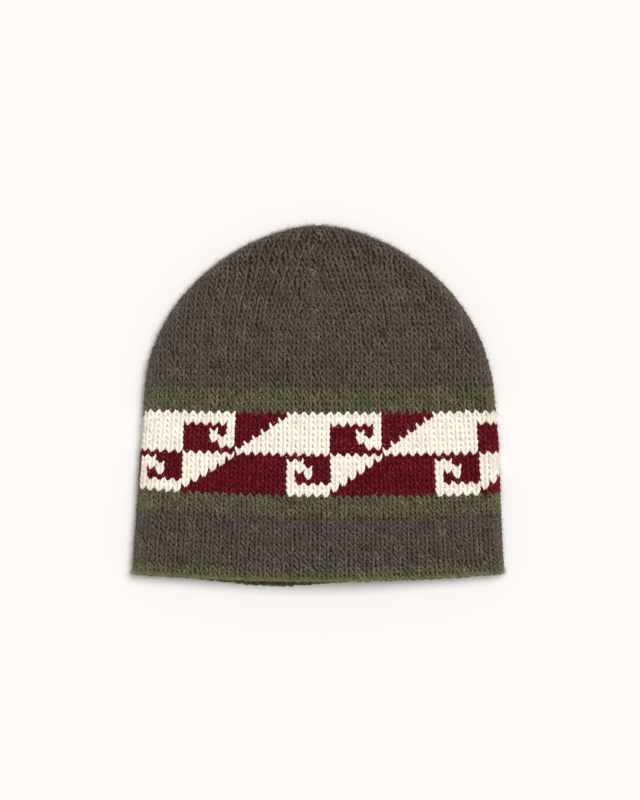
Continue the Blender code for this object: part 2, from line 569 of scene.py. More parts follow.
@dataclass
class CrownKnit:
    """Places the stitches of the crown's front or back, which narrow to a line.

    The wales run straight up, lean in to the decrease line near the middle, and
    run off over the arch at the sides. Rows are counted along each wale.
    """

    # Heights over the hem, and the wales lost on each side of the line by each
    DECREASE_HEIGHTS = (0.1323, 0.1468, 0.1560, 0.1653, 0.1746, 0.1839, 0.1990, 0.2065)
    DECREASE_EATEN = (0.0, 0.27, 0.66, 1.3, 2.1, 2.8, 3.8, 4.4)
    # Share of the lost width that the wales left over spread into, and the most
    SPREAD = 0.7
    MOST_SPREAD = 0.2
    # Beside the line, in wales: how far a stitch may lap over it, how narrow one
    # may get, how far edges wander, and how far off they wander and lean
    SEAM_LAP = 0.45
    LEAST_WIDTH = 0.25
    SEAM_WANDER = 0.22
    WANDER_REACH = 2.0
    LEAN_REACH = 5.0
    # How far past the fold a place may lie, and how far past the arch a row goes on
    EDGE = 1.04
    LAST_ROW_LAP = 0.2
    # The table of row heights: its steps, its rows, and the wales it takes past the fold
    WALE_STEP = 0.25
    ROW_STEP = 0.1
    TABLE_ROWS = 32.0
    SPARE_WALES = 2.0
    # The rows that are knitted where there is room, and the wales tried past the fold
    KNIT_ROWS = 30
    TRIED_WALES = 3.0

    surface: CapSurface
    gauge: Gauge
    half_wales: float  # from this side's middle to the fold
    half_length: Floats  # the same as a length, at each of the surface's heights
    line: float  # wale number of the decrease line, from this side's middle
    middle: float  # this side's middle on the surface, 0 for the front and 2 for the back

    def __post_init__(self) -> None:
        """Measure a wale at the crown's foot and work out how high each row is on each wale."""
        self.foot = BANDS[-1].top
        foot_length = float(np.interp(self.foot, self.surface.heights, self.half_length))
        self.base_pitch = foot_length / self.half_wales
        self._fill_row_table()

    def eaten(self, height: Floats) -> Floats:
        """Wales lost on each side of the line at a height."""
        return np.interp(height, self.DECREASE_HEIGHTS, self.DECREASE_EATEN)

    def share(self, wale: Floats, height: Floats) -> Floats:
        """How far a wale is from this side's middle at a height, as a share of the half.

        place = line + sign * (|wale - line| - eaten) * pitch * spread, over the
        half's own length, so 1 is on the fold. Next to the line a stitch may lap
        over it by SEAM_LAP of a wale.

        Args:
            wale: wale numbers from this side's middle.
            height: heights over the hem.

        Returns:
            The shares, past 1 where the wale has run off over the arch.
        """
        away = wale - self.line
        sign = np.sign(away)
        eaten = self.eaten(height)
        length = np.interp(height, self.surface.heights, self.half_length)
        line_place = self.line * self.base_pitch
        room = np.maximum(length - sign * line_place, TINY)
        lost = self.SPREAD * eaten * self.base_pitch / room
        spread = 1.0 / (1.0 - np.minimum(lost, self.MOST_SPREAD))
        left_over = np.maximum(np.abs(away) - eaten, -self.SEAM_LAP)
        place = line_place + sign * left_over * self.base_pitch * spread
        return place / np.maximum(length, TINY)

    def _fill_row_table(self) -> None:
        """Measure along every wale and note at which height each row comes."""
        reach = self.half_wales + self.SPARE_WALES
        self.table_wales = np.arange(-reach, reach + self.WALE_STEP, self.WALE_STEP)
        self.table_rows = np.arange(0.0, self.TABLE_ROWS, self.ROW_STEP)
        heights = self.surface.heights[self.surface.heights >= self.foot]
        heights = np.concatenate([[self.foot], heights])
        wale, height = np.meshgrid(self.table_wales, heights, indexing="ij")
        share = self.share(wale, height)
        points, _ = self.surface.at(height, self.middle + np.clip(share, -self.EDGE, self.EDGE))
        way = way_along(points)
        rows = self.table_rows * self.gauge.crown_pitch
        self.table = np.array([np.interp(rows, path, heights) for path in way])
        off = np.abs(share) >= 1.0
        last = np.where(off.any(axis=1), off.argmax(axis=1), len(heights) - 1)
        self.last_rows = way[np.arange(len(way)), last] / self.gauge.crown_pitch

    def height(self, wale: Floats, row: Floats) -> Floats:
        """The height of a row on a wale, blended from the table's four nearest; straight below the foot.

        Args:
            wale: wale numbers from this side's middle.
            row: row numbers from the crown's foot.

        Returns:
            Heights over the hem.
        """
        across = np.clip((wale - self.table_wales[0]) / self.WALE_STEP, 0, len(self.table_wales) - 1.001)
        along = np.clip(row / self.ROW_STEP, 0, len(self.table_rows) - 1.001)
        left, low = across.astype(int), along.astype(int)
        over, up = across - left, along - low
        lower = self.table[left, low] * (1 - over) + self.table[left + 1, low] * over
        upper = self.table[left, low + 1] * (1 - over) + self.table[left + 1, low + 1] * over
        return lower * (1 - up) + upper * up + np.minimum(row, 0.0) * self.gauge.crown_pitch

    def lay(self, wale: Floats, row: Floats) -> Pair:
        """Points and normals of places given by wale and row numbers.

        Args:
            wale: wale numbers from this side's middle.
            row: row numbers from the crown's foot.

        Returns:
            Points and unit normals, one for each place.
        """
        height = self.height(wale, row)
        share = np.clip(self.share(wale, height), -self.EDGE, self.EDGE)
        return self.surface.at(height, self.middle + share)

    def row_edges(self, row: float, chance: Chance) -> tuple[Floats, Floats, Floats]:
        """The wale numbers between which each stitch of a row lies, and how it leans.

        Next to the line, a stitch narrower than LEAST_WIDTH is worked into its
        neighbour, as a decrease is, and laps over the line by chance. Edges near the
        line wander by SEAM_WANDER * exp(-distance / WANDER_REACH) of a wale. Right of
        the line stitches lean by 1 - 2 min(eaten, 1) exp(-distance / LEAN_REACH), so
        that those beside it lean the other way and mirror the ones left of it.

        Args:
            row: the row number at the middle of the stitches.
            chance: the source of the laps.

        Returns:
            The left edge, the right edge and the lean, -1 to 1, of each stitch in order.
        """
        eaten = float(self.eaten(self.height(np.array([self.line]), np.array([row])))[0])
        last_step = math.ceil(self.half_wales) + self.TRIED_WALES
        steps = np.arange(math.ceil(eaten + self.LEAST_WIDTH), last_step)
        left_lap, right_lap = np.minimum(chance.uniform(0.0, self.SEAM_LAP, 2), eaten)
        wander = self.SEAM_WANDER * min(eaten, 1.0) * np.exp((eaten - steps) / self.WANDER_REACH)
        left_steps, right_steps = steps + wander * chance.uniform(-1.0, 1.0, (2, len(steps)))
        left = self.line - np.concatenate([left_steps[::-1], [eaten - left_lap]])
        right = self.line + np.concatenate([[eaten - right_lap], right_steps])
        left_edges = np.concatenate([left[:-1], right[:-1]])
        right_edges = np.concatenate([left[1:], right[1:]])
        middles = (left_edges + right_edges) / 2
        here = row <= np.interp(middles, self.table_wales, self.last_rows) + self.LAST_ROW_LAP
        beyond = middles - self.line
        near = min(eaten, 1.0) * np.exp(-np.maximum(beyond - eaten, 0.0) / self.LEAN_REACH)
        leaning = np.where(beyond > 0.0, 1.0 - 2.0 * near, 1.0)
        return left_edges[here], right_edges[here], leaning[here]


# --- the yarn ------------------------------------------------------------------


@dataclass(frozen=True)
class Stitch:
    """The loop that one stitch of stocking stitch makes of its yarn.

    With a from -pi to pi along the loop, it lies at a + slant * sin(2a) + skew * cos(a)
    across its wale, cos(a) * reach up it, and -depth * cos(2a) out of it, so that
    its two legs lie in front and make the V.
    """

    slant: float = 1.5  # how far the legs lean, in radians of the wale
    skew: float = -0.75  # how far the loop leans over, which sets one leg upright
    reach: float = 0.92  # how far it reaches up and down, in rows
    depth: float = 0.95 * MM  # how far it weaves in and out
    radius: float = 1.10 * MM  # half the yarn's thickness
    pinch: float = 0.38  # how much thinner it is drawn where it turns behind its neighbours
    under: float = 1.65 * MM  # how far its middle lies under the outer face
    samples: int = 12
    sides: int = 6
    unevenness: float = 0.08  # how much stitches differ, in wales and rows
    radius_spread: float = 0.09
    tone_spread: float = 0.10
    tone_flicker: float = 0.7  # share of that spread that comes again along each loop
    slub_share: float = 0.0025  # share of stitches with a thick, soft place
    slub_swell: float = 0.3  # how much thicker and lighter it is there

    def run(
        self, knit: StraightKnit | CrownKnit, left: Floats, right: Floats,
        row: float, closed: bool, chance: Chance, leaning: Floats | float = 1.0,
    ) -> MeshData:
        """Carry the yarn through neighbouring stitches of one row.

        Args:
            knit: what places wale and row numbers on the cap.
            left: wale number of each stitch's left edge.
            right: wale number of each stitch's right edge.
            row: row number of the stitches' middle.
            closed: whether the last stitch joins the first.
            chance: the source of the small differences between stitches.
            leaning: share of the skew that each stitch takes.

        Returns:
            The tube of yarn.
        """
        count = len(left)
        angle = -math.pi + 2 * math.pi * np.arange(self.samples) / self.samples
        window = np.cos(angle / 2) ** 2
        skew = self.skew * np.reshape(leaning, (-1, 1))
        lean = self.slant * np.sin(2 * angle) + skew * np.cos(angle)
        across = (angle + lean + math.pi) / (2 * math.pi)
        shift = chance.normal(0.0, self.unevenness, (3, count, 1))
        wale = left[:, None] + (right - left)[:, None] * across + shift[0] * window
        tall = self.reach * (1.0 + shift[1])
        rows = row + tall * np.cos(angle) + shift[2] * window
        out = -self.under - self.depth * np.cos(2 * angle) + np.zeros((count, 1))
        slub = self.slub_swell * (chance.random((count, 1)) < self.slub_share)
        radius = self.radius * (1.0 + slub + self.radius_spread * chance.normal(0.0, 1.0, (count, 1)))
        radius = radius * (1.0 - self.pinch * np.cos(angle) ** 4)
        tone = 1.0 + slub + self.tone_spread * chance.normal(0.0, 1.0, (count, 1))
        flicker = chance.normal(0.0, 1.0, (count, self.samples))
        tone = tone + self.tone_flicker * self.tone_spread * flicker
        wale, rows, out, radius, tone = (a.ravel() for a in (wale, rows, out, radius, tone))
        if not closed:
            wale, rows = np.append(wale, right[-1]), np.append(rows, row - self.reach)
            out, radius, tone = (np.append(a, a[0]) for a in (out, radius, tone))
        points, normals = knit.lay(wale, rows)
        centres = points + normals * out[:, None]
        return self.tube(centres, normals, smoothed(radius, closed), tone, closed)

    def tube(
        self, centres: Floats, normals: Floats, radius: Floats, tone: Floats, closed: bool,
    ) -> MeshData:
        """Sweep a round section along a path: centre + radius (cos p N + sin p B), z from 0 up.

        Args:
            centres: the path's points.
            normals: the face's outward normal at each.
            radius: half the thickness at each.
            tone: how light the wool is at each.
            closed: whether the path is a ring.

        Returns:
            The tube, closed at both ends where the path isn't a ring.
        """
        if closed:
            tangent = np.roll(centres, -1, axis=0) - np.roll(centres, 1, axis=0)
        else:
            tangent = np.gradient(centres, axis=0)
        tangent = unit(tangent)
        beside = unit(np.cross(tangent, normals))
        section = spokes(np.cross(beside, tangent), beside, self.sides)
        rings = centres[:, None] + radius[:, None, None] * section
        rings[..., 2] = np.maximum(rings[..., 2], 0.0)
        count = len(centres)
        here = np.arange(count if closed else count - 1)
        faces = quads(here, (here + 1) % count, self.sides).reshape(-1, 4)
        along = way_along(np.append(centres, centres[:1], axis=0))[:, None]
        side = np.arange(self.sides)[None, :]
        u_here, u_after, v_here, v_after = np.broadcast_arrays(
            along[here], along[here + 1], side / self.sides, (side + 1) / self.sides)
        corners = ((u_here, v_here), (u_here, v_after), (u_after, v_after), (u_after, v_here))
        uv = np.stack([np.stack(corner, axis=-1) for corner in corners], axis=-2).reshape(-1, 4, 2)
        if not closed:
            first = np.array([[3, 2, 1, 0], [5, 4, 3, 0]])
            last = np.array([[0, 1, 2, 3], [0, 3, 4, 5]]) + (count - 1) * self.sides
            faces = np.concatenate([faces, first, last])
            uv = np.concatenate([uv, np.zeros((4, 4, 2))])
        return MeshData(rings.reshape(-1, 3), faces, uv, np.repeat(tone, self.sides))


def smoothed(values: Floats, closed: bool, passes: int = 3) -> Floats:
    """Smooth a list of values: each becomes the mean of itself and its neighbours, again and again.

    Args:
        values: one value for each point of a path.
        closed: whether the path is a ring.
        passes: how many times.

    Returns:
        The smoothed values.
    """
    near = 2
    window = np.ones(2 * near + 1) / (2 * near + 1)
    for _ in range(passes):
        padded = np.pad(values, near, mode="wrap" if closed else "edge")
        values = np.convolve(padded, window, mode="valid")
    return values


class Yarn(Enum):
    """The two yarns of the fret, by their letter in the chart."""

    CREAM = "C"
    BURGUNDY = "R"


# The fret, listed one letter a stitch, from the top row to the bottom one: a
# stepped fret with a hook at each foot, the same when it is turned half round
FRET_CHART = (
    "CCCCCCRRRRRRCCCCC",
    "CCCCCCRRRRRCCCCCC",
    "RRRRRCRRRRCCCCCCC",
    "RRRCRCRRRCCCCCCCC",
    "RRRCCCRRCCCCCCCCC",
    "RRRRCCRCCCCCCCCCC",
    "RRRRRRCCCCCCCCCCC",
    "CCCCCCRRRRRRRRRRR",
    "CCCCCRRRRRRRCCRRR",
    "CCCCRRRRRRRRCCCRR",
    "CCCRRRRRRRRRCRCRR",
    "CCRRRRRRRRRRCRRRR",
    "CRRRRRRRRRRRCCCCC",
    "RRRRRRRRRRRRCCCCC",
)


# --- finishes ------------------------------------------------------------------


@dataclass(frozen=True)
class HeatherWool:
    """Woollen-spun heathered yarn: matt, soft, its colour mixed from dyed fibres."""

    name: str
    shade: str  # the darkest fibres, as sRGB hex
    body: str
    light: str
    warm: str  # two tints that drift through in soft patches
    cool: str
    drift: float = 0.5  # how strongly they show
    speckle: float = 0.8 * MM  # specks of fibre, coarser than real ones so that they show
    patch: float = 7.0 * MM
    sheen: float = 0.35  # the fine surface hairs' glow
    roughness: float = 0.95
    gloss: float = 0.2
    ply_pitch: float = 2.4 * MM  # length of one turn of the plies along the yarn
    bump: float = 0.25 * MM
    strand_tone: float = 1.15  # how light its stray strands are beside it,
    fuzz_tone: float = 4.5  # and its fuzz, where light shines through it

    RAMP = (0.34, 0.50, 0.68)  # where shade, body and light lie on the fibres' noise
    PATCH_EDGE = (0.48, 0.68)  # where a tint starts to show, and where it shows in full
    TINT_PLACES = (0.31, 0.77)  # metres that move each tint's noise away from the other's
    FIBRE = 0.35 * MM  # size of the fibres on the bump

    def build(self) -> bpy.types.Material:
        """Make the material: mixed fibres, drifting tints and a soft ply on the bump.

        Returns:
            The material.
        """
        material, tree = blank_material(self.name)
        coords = add_node(tree, "ShaderNodeTexCoord").outputs["Object"]
        fibres = add_node(tree, "ShaderNodeTexNoise", inputs={
            "Vector": coords, "Scale": 1 / self.speckle, "Detail": 3.0, "Roughness": 0.65})
        mixed = add_node(tree, "ShaderNodeValToRGB", inputs={"Fac": fibres.outputs["Fac"]})
        ramp = mixed.color_ramp
        ramp.elements[0].position, ramp.elements[0].color = self.RAMP[0], linear(self.shade)
        ramp.elements[1].position, ramp.elements[1].color = self.RAMP[2], linear(self.light)
        ramp.elements.new(self.RAMP[1]).color = linear(self.body)
        colour = mixed.outputs["Color"]
        for tint, shift in zip((self.warm, self.cool), self.TINT_PLACES):
            moved = add_node(tree, "ShaderNodeMapping", inputs={
                "Vector": coords, "Location": (shift, -shift, shift)})
            drift = add_node(tree, "ShaderNodeTexNoise", inputs={
                "Vector": moved.outputs["Vector"], "Scale": 1 / self.patch,
                "Detail": 4.0, "Roughness": 0.75})
            amount = add_node(tree, "ShaderNodeMapRange", inputs={
                "Value": drift.outputs["Fac"], "From Min": self.PATCH_EDGE[0],
                "From Max": self.PATCH_EDGE[1], "To Min": 0.0, "To Max": self.drift})
            blend = add_node(tree, "ShaderNodeMix", {"data_type": "RGBA"}, {
                0: amount.outputs["Result"], 6: colour, 7: linear(tint)})
            colour = blend.outputs[2]
        tone = add_node(tree, "ShaderNodeAttribute", {"attribute_name": "tone"})
        toned = add_node(tree, "ShaderNodeHueSaturation", inputs={
            "Value": tone.outputs["Fac"], "Color": colour})
        shader = add_node(tree, "ShaderNodeBsdfPrincipled", inputs={
            "Base Color": toned.outputs["Color"], "Roughness": self.roughness,
            "Specular IOR Level": self.gloss, "Sheen Weight": self.sheen, "Sheen Roughness": 0.5,
            "Sheen Tint": linear(self.light), "Normal": self._relief(tree, coords)})
        add_node(tree, "ShaderNodeOutputMaterial", inputs={"Surface": shader.outputs["BSDF"]})
        return material

    def _relief(self, tree: bpy.types.NodeTree, coords: bpy.types.NodeSocket) -> bpy.types.NodeSocket:
        """Bump of the yarn's plies along its own UV map, under the fuzz of its fibres.

        Args:
            tree: the material's nodes.
            coords: the Object coordinates.

        Returns:
            The bump's normal.
        """
        uv = add_node(tree, "ShaderNodeUVMap", {"uv_map": "UVMap"})
        slant = add_node(tree, "ShaderNodeMapping", inputs={
            "Vector": uv.outputs["UV"], "Scale": (1 / self.ply_pitch, 2.0, 1.0)})
        plies = add_node(tree, "ShaderNodeTexWave", {"bands_direction": "DIAGONAL"}, {
            "Vector": slant.outputs["Vector"], "Scale": 0.32, "Distortion": 1.5, "Detail": 1.0})
        fuzz = add_node(tree, "ShaderNodeTexNoise", inputs={
            "Vector": coords, "Scale": 1 / self.FIBRE, "Detail": 3.0})
        both = add_node(tree, "ShaderNodeMath", {"operation": "MULTIPLY_ADD"}, {
            0: plies.outputs["Fac"], 1: 0.5, 2: fuzz.outputs["Fac"]})
        bump = add_node(tree, "ShaderNodeBump", inputs={
            "Strength": 0.7, "Distance": self.bump, "Height": both.outputs["Value"]})
        return bump.outputs["Normal"]


# Undyed dark fleece spun with olive and lilac: a brown-grey that shifts in soft patches
GREY_BROWN_WOOL = HeatherWool(
    name="grey_brown_heather_wool", shade="28211A", body="4C433B", light="7A7169",
    warm="4C462F", cool="4C444A", drift=0.6)
# Mossy olive spun with brown and a little yellow
OLIVE_WOOL = HeatherWool(
    name="olive_heather_wool", shade="2D2816", body="555038", light="85816D",
    warm="5C4E31", cool="434F3A", drift=0.65)
# Wine-red wool, dyed in one piece, so it is nearly even
BURGUNDY_WOOL = HeatherWool(
    name="burgundy_wool", shade="3A050B", body="5C0A13", light="8C3643",
    warm="640A12", cool="520A1E", drift=0.35, sheen=0.14, gloss=0.04, fuzz_tone=2.5)
# Undyed white fleece, warm and a little yellow
CREAM_WOOL = HeatherWool(
    name="cream_wool", shade="DDD4C4", body="F1EADD", light="FBF7EF",
    warm="EFE6D3", cool="ECE4DA", drift=0.4, strand_tone=0.95, fuzz_tone=0.95)
# The four wools where they lie behind the loops, without their glow: the cream a little
# deeper, the others dark, because next to no light comes in between the stitches
CREAM_LINING = HeatherWool(
    name="cream_wool_lining", shade="BEB2A0", body="D3C8B5", light="E6DCCB",
    warm="D6C9B2", cool="CEC4B6", sheen=0.0)
GREY_BROWN_BACKING = HeatherWool(
    name="grey_brown_wool_backing", shade="171411", body="27221D", light="37312B",
    warm="282418", cool="282328", sheen=0.0)
OLIVE_BACKING = HeatherWool(
    name="olive_wool_backing", shade="1A170C", body="2C2919", light="3E3A27",
    warm="2E2A16", cool="242B1E", sheen=0.0)
BURGUNDY_BACKING = HeatherWool(
    name="burgundy_wool_backing", shade="22050A", body="34090F", light="460F19",
    warm="36090D", cool="2E0714", sheen=0.0)


# --- the parts of the cap ------------------------------------------------------


@dataclass(frozen=True)
class Dress:
    """What a band is made of: its slot, its wools by the names of their pieces, and its wall."""

    slot: str
    wools: dict[str, HeatherWool]
    backing: HeatherWool


OLIVE = ("olive_wool", OLIVE_WOOL, OLIVE_BACKING)
GREY_BROWN = ("grey_brown_wool", GREY_BROWN_WOOL, GREY_BROWN_BACKING)
DRESSES = {
    name: Dress(slot, {name: wool}, backing)
    for name, (slot, wool, backing) in (
        ("hem", OLIVE), ("lower_body", GREY_BROWN), ("lower_stripe", OLIVE),
        ("upper_stripe", OLIVE), ("crown", GREY_BROWN),
    )
}
DRESSES["fret_band"] = Dress(
    "fret_wool", {"fret_cream": CREAM_WOOL, "fret_burgundy": BURGUNDY_WOOL}, BURGUNDY_BACKING)


@dataclass
class BackingWall:
    """The thin wall of wool behind the loops: the insides of the stitches, matted together. Its wools
    carry painted shade where it shows between the stitches: the cream lining a little deeper, the others
    dark.
    """

    surface: CapSurface
    outer: float = 1.3 * MM  # depths of its two sides under the face
    inner: float = 2.9 * MM
    row_gap: float = 2.6 * MM
    columns: int = 160
    lining: float = 1.2 * MM  # depth of the cream lining's outer side
    lining_thickness: float = 0.3 * MM
    lining_inset: float = 0.08  # how far it stops short of its stitches' edges

    def strip(self, knit: StraightKnit, start: float, end: float, row: float) -> MeshData:
        """A slab of lining close behind one run of stitches, which keeps the wall from showing.

        Args:
            knit: what places wale and row numbers on the cap.
            start: wale number of the run's left edge.
            end: wale number of its right edge.
            row: row number of its middle.

        Returns:
            The slab, closed all round.
        """
        steps = max(2, round(2 * (end - start))) + 1
        wale = np.linspace(start + self.lining_inset, end - self.lining_inset, steps)[:, None]
        half = 0.5 - self.lining_inset
        rows = row + np.array([half, -half, -half, half])[None, :]
        depth = self.lining + np.array([0.0, 0.0, 1.0, 1.0]) * self.lining_thickness
        wale, rows = np.broadcast_arrays(wale, rows)
        face, normal = knit.lay(wale.ravel(), rows.ravel())
        points = face - np.tile(depth, steps)[:, None] * normal
        faces = quads(np.arange(steps - 1), np.arange(1, steps), 4).reshape(-1, 4)
        last = 4 * (steps - 1) + np.arange(4)
        faces = np.concatenate([faces, [[3, 2, 1, 0]], [last]])
        return MeshData(points, faces, points[faces][..., :2], np.ones(len(points)))

    def shell(self, bottom: float, top: float) -> MeshData:
        """A closed length of the wall: face - depth * normal for both sides, joined by rims.

        Args:
            bottom: height of its lower edge.
            top: height of its upper edge; at the cap's top it closes to a point.

        Returns:
            The wall, outer side, inner side and rims.
        """
        count = max(2, round((top - bottom) / self.row_gap))
        is_crown = top >= self.surface.form.length
        steps = np.linspace(0.0, 1.0, count + 1)
        if is_crown:
            steps = np.sin(steps * math.pi / 2)
        heights = (bottom + (top - bottom) * steps)[:, None]
        sides = (-1.0 + 4.0 * np.arange(self.columns) / self.columns)[None, :]
        heights, sides = np.broadcast_arrays(heights, sides)
        face, normal = self.surface.at(heights.copy(), sides.copy())
        outside, inside = face - self.outer * normal, face - self.inner * normal
        if is_crown:
            outside[-1] = outside[-1].mean(axis=0)
            inside[-1] = inside[-1].mean(axis=0)
        profile = np.concatenate([outside, inside[::-1]])
        ring = np.arange(len(profile))
        faces = quads(ring, (ring + 1) % len(profile), self.columns)
        if is_crown:
            faces = np.delete(faces, count, axis=0)
        faces = faces.reshape(-1, 4)
        points = profile.reshape(-1, 3)
        return MeshData(points, faces, points[faces][..., :2], np.ones(len(points)))


@dataclass
class StrayFibres:
    """Fine hairs of the wool: strands that lie over the stitches and fuzz along the outline.

    Real ones are too fine to show at this scale, so these are drawn thicker.
    """

    surface: CapSurface
    strand_length: float = 3.4 * MM
    strand_thickness: float = 0.11 * MM
    strand_lift: float = 0.25 * MM
    fuzz_length: float = 2.4 * MM
    fuzz_thickness: float = 0.10 * MM
    fuzz_spread: float = 0.9  # how far the short hairs turn from straight out
    fuzz_root: float = 0.5 * MM  # how deep under the face they start
    rim_spread: float = 0.065  # how far from the fold they start, in sides
    strand_variety: float = 0.35  # how much the lengths of the strands differ, as a share
    fuzz_variety: float = 0.4
    tone_spread: float = 0.15
    floor_gap: float = 0.2 * MM
    rim_marks: int = 200

    def on_face(self, count: int, bottom: float, top: float, chance: Chance) -> Pair:
        """Heights and sides scattered evenly between two heights."""
        highest = min(top, self.surface.form.length * 0.999)
        return chance.uniform(bottom, highest, count), chance.uniform(-1.0, 3.0, count)

    def on_rim(self, density: float, bottom: float, top: float, chance: Chance) -> Pair:
        """Heights and sides along both folds, evenly by length of the outline.

        Args:
            density: hairs for each metre of outline.
            bottom: lowest height.
            top: highest height.
            chance: the source of the places.

        Returns:
            The heights and the sides.
        """
        highest = min(top, self.surface.form.length * 0.9999)
        marks = bottom + (highest - bottom) * np.sin(np.linspace(0.0, math.pi / 2, self.rim_marks))
        outline, _ = self.surface.at(marks, np.ones(len(marks)))
        way = way_along(outline)
        count = round(2 * density * way[-1])
        height = np.interp(chance.uniform(0.0, way[-1], count), way, marks)
        return height, chance.choice([-1.0, 1.0], count) + chance.normal(0.0, self.rim_spread, count)

    def strands(self, height: Floats, side: Floats, tone: float, chance: Chance) -> MeshData:
        """Three-sided hairs that lie over the stitches, each bent once.

        A strand runs root, root + l/2 T + lift N, root + l (T + curl / 4), where T is a
        direction along the face and N its normal.

        Args:
            height: heights of the roots.
            side: sides of the roots.
            tone: how light they are beside their yarn.
            chance: the source of their directions.

        Returns:
            All the strands as triangles.
        """
        count = len(height)
        face, normal = self.surface.at(height, side)
        along = unit(np.cross(normal, unit(chance.normal(0.0, 1.0, (count, 3)))))
        curl = unit(chance.normal(0.0, 1.0, (count, 3)))
        long = (self.strand_length * chance.lognormal(0.0, self.strand_variety, count))[:, None]
        root = face + 0.5 * self.strand_lift * normal
        middle = root + 0.5 * long * along + self.strand_lift * normal
        tip = root + long * (along + 0.25 * curl)
        across = unit(np.cross(tip - root, normal + TINY))
        beyond = unit(np.cross(across, tip - root))
        section = spokes(across, beyond, 3) * self.strand_thickness / 2
        points = np.concatenate(
            [root[:, None] + section, middle[:, None] + section, tip[:, None]], axis=1)
        pattern = np.array([
            [0, 2, 1], [0, 1, 4], [0, 4, 3], [1, 2, 5], [1, 5, 4], [2, 0, 3], [2, 3, 5],
            [3, 4, 6], [4, 5, 6], [5, 3, 6],
        ])
        return self._gathered(points, pattern, tone, chance)

    def fuzz(self, height: Floats, side: Floats, tone: float, chance: Chance) -> MeshData:
        """Short straight spikes that stand out every way: root, root + l (N + spread * random).

        Args:
            height: heights of the roots.
            side: sides of the roots.
            tone: how light they are beside their yarn.
            chance: the source of their directions.

        Returns:
            All the spikes as triangles.
        """
        count = len(height)
        face, normal = self.surface.at(height, side)
        out = unit(normal + self.fuzz_spread * chance.normal(0.0, 1.0, (count, 3)))
        long = (self.fuzz_length * chance.lognormal(0.0, self.fuzz_variety, count))[:, None]
        root = face - self.fuzz_root * normal
        across = unit(np.cross(out, normal + 1e-3))
        section = spokes(across, np.cross(out, across), 3) * self.fuzz_thickness / 2
        points = np.concatenate([root[:, None] + section, (root + long * out)[:, None]], axis=1)
        pattern = np.array([[0, 2, 1], [0, 1, 3], [1, 2, 3], [2, 0, 3]])
        return self._gathered(points, pattern, tone, chance)

    def _gathered(self, points: Floats, pattern: Whole, tone: float, chance: Chance) -> MeshData:
        """Put hairs of the same pattern into one mesh, kept over the floor.

        Args:
            points: corners, by hair and corner.
            pattern: one hair's triangles.
            tone: how light they are beside their yarn.
            chance: the source of how that differs from hair to hair.

        Returns:
            All the hairs as triangles.
        """
        points[..., 2] = np.maximum(points[..., 2], self.floor_gap)
        count, corners = points.shape[:2]
        faces = (pattern[None] + corners * np.arange(count)[:, None, None]).reshape(-1, 3)
        tones = np.repeat(tone * chance.normal(1.0, self.tone_spread, count), corners)
        return MeshData(points.reshape(-1, 3), faces, np.zeros((len(faces), 3, 2)), tones)


